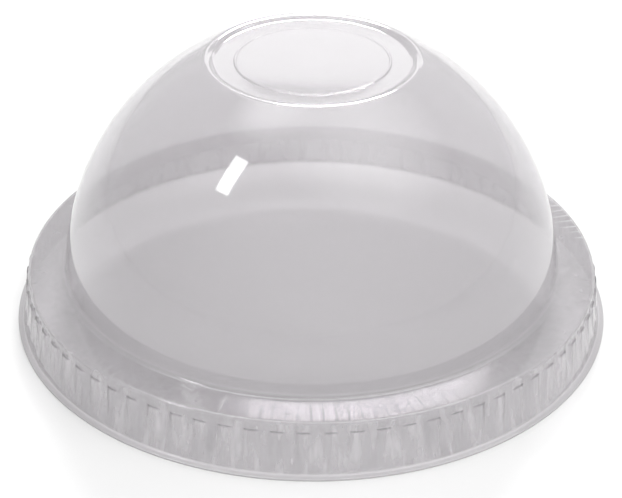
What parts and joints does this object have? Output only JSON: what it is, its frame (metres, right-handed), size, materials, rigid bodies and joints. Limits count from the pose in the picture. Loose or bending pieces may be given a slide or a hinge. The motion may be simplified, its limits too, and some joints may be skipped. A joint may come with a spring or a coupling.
{
  "type": "dome lid",
  "caption": "Clear thermoformed dome lid without a hole: flanged skirt with stiffening lugs, flat ledge, tall dome and ringed flat top, presses onto a cold-drink cup's rim.",
  "frame": {"origin": "centre of the flange's underside, on the lid's axis: the centre of the bottom of the bounding box", "axes": "+Z along the lid's axis, from the open mouth up to the flat top; X and Y lie in the plane on which the flange rests, and -Y faces the viewer"},
  "size_m": [0.103, 0.103, 0.0471],
  "materials": {
    "clear_pet": "clear, glossy, faintly grey formed sheet"
  },
  "bodies": {
    "root": {"dome_lid": "clear_pet"}
  },
  "joints": []
}
